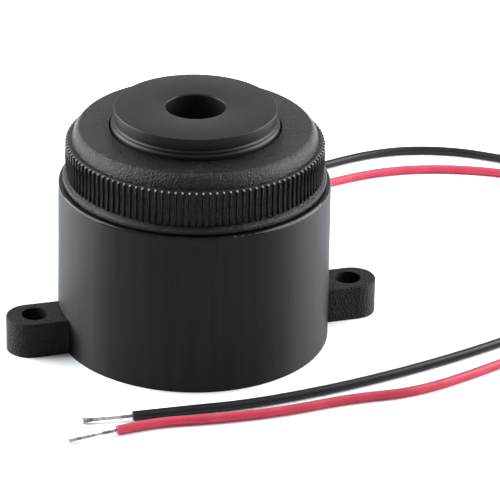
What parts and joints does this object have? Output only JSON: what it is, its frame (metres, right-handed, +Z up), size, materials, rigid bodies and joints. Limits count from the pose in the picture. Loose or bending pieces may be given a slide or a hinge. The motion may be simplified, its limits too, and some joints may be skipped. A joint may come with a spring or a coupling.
{
  "type": "piezo buzzer",
  "caption": "Round black piezo buzzer with a knurled cap, a raised sound port, side mounting lugs and loose flying leads.",
  "frame": {"origin": "on the mounting plane, on the axis of the round body, midway between the two lug holes", "axes": "+X from one lug hole to the other, +Y to the back where the leads leave, +Z up through the sound port"},
  "size_m": [0.1179, 0.086, 0.038],
  "materials": {
    "housing_plastic": "satin moulded plastic",
    "cap_plastic": "fine-grained matte moulded plastic",
    "disc_plastic": "fine-grained matte moulded plastic",
    "black_insulation": "semi-gloss flexible plastic",
    "red_insulation": "semi-gloss flexible plastic",
    "tinned_copper": "tinned stranded wire",
    "potting_resin": "glossy cast epoxy",
    "diaphragm_brass": "plain rolled",
    "piezo_ceramic": "silvered ceramic",
    "silicone": "translucent white silicone",
    "support_plastic": "natural moulded plastic",
    "board_laminate": "solder-resist coated laminate",
    "ferrite": "ground ferrite",
    "enamelled_wire": "enamelled winding wire",
    "transistor_case": "moulded epoxy",
    "capacitor_sleeve": "shrink sleeve",
    "resistor_body": "lacquered",
    "diode_body": "moulded epoxy",
    "solder": "bright solder",
    "white_wire": "flexible plastic",
    "blue_wire": "flexible plastic",
    "green_wire": "flexible plastic"
  },
  "bodies": {
    "root": {"base_housing": "housing_plastic", "knurled_cap": "cap_plastic", "sound_disc": "disc_plastic", "support_ring": "support_plastic", "diaphragm_plate": "diaphragm_brass", "piezo_ceramic": "piezo_ceramic", "seal_ring": "silicone", "diaphragm_solder": "solder", "drive_wire": "white_wire", "feedback_wire": "blue_wire", "ground_wire": "green_wire", "circuit_board": "board_laminate", "inductor_core": "ferrite", "inductor_winding": "enamelled_wire", "driver_transistor": "transistor_case", "supply_capacitor": "capacitor_sleeve", "polarity_diode": "diode_body", "bias_resistor": "resistor_body", "feedback_resistor": "resistor_body", "discharge_resistor": "resistor_body", "solder_joints": "solder", "lead_tails": "tinned_copper", "potting_resin": "potting_resin", "black_lead": "black_insulation", "red_lead": "red_insulation", "black_strands": "tinned_copper", "red_strands": "tinned_copper"}
  },
  "joints": []
}
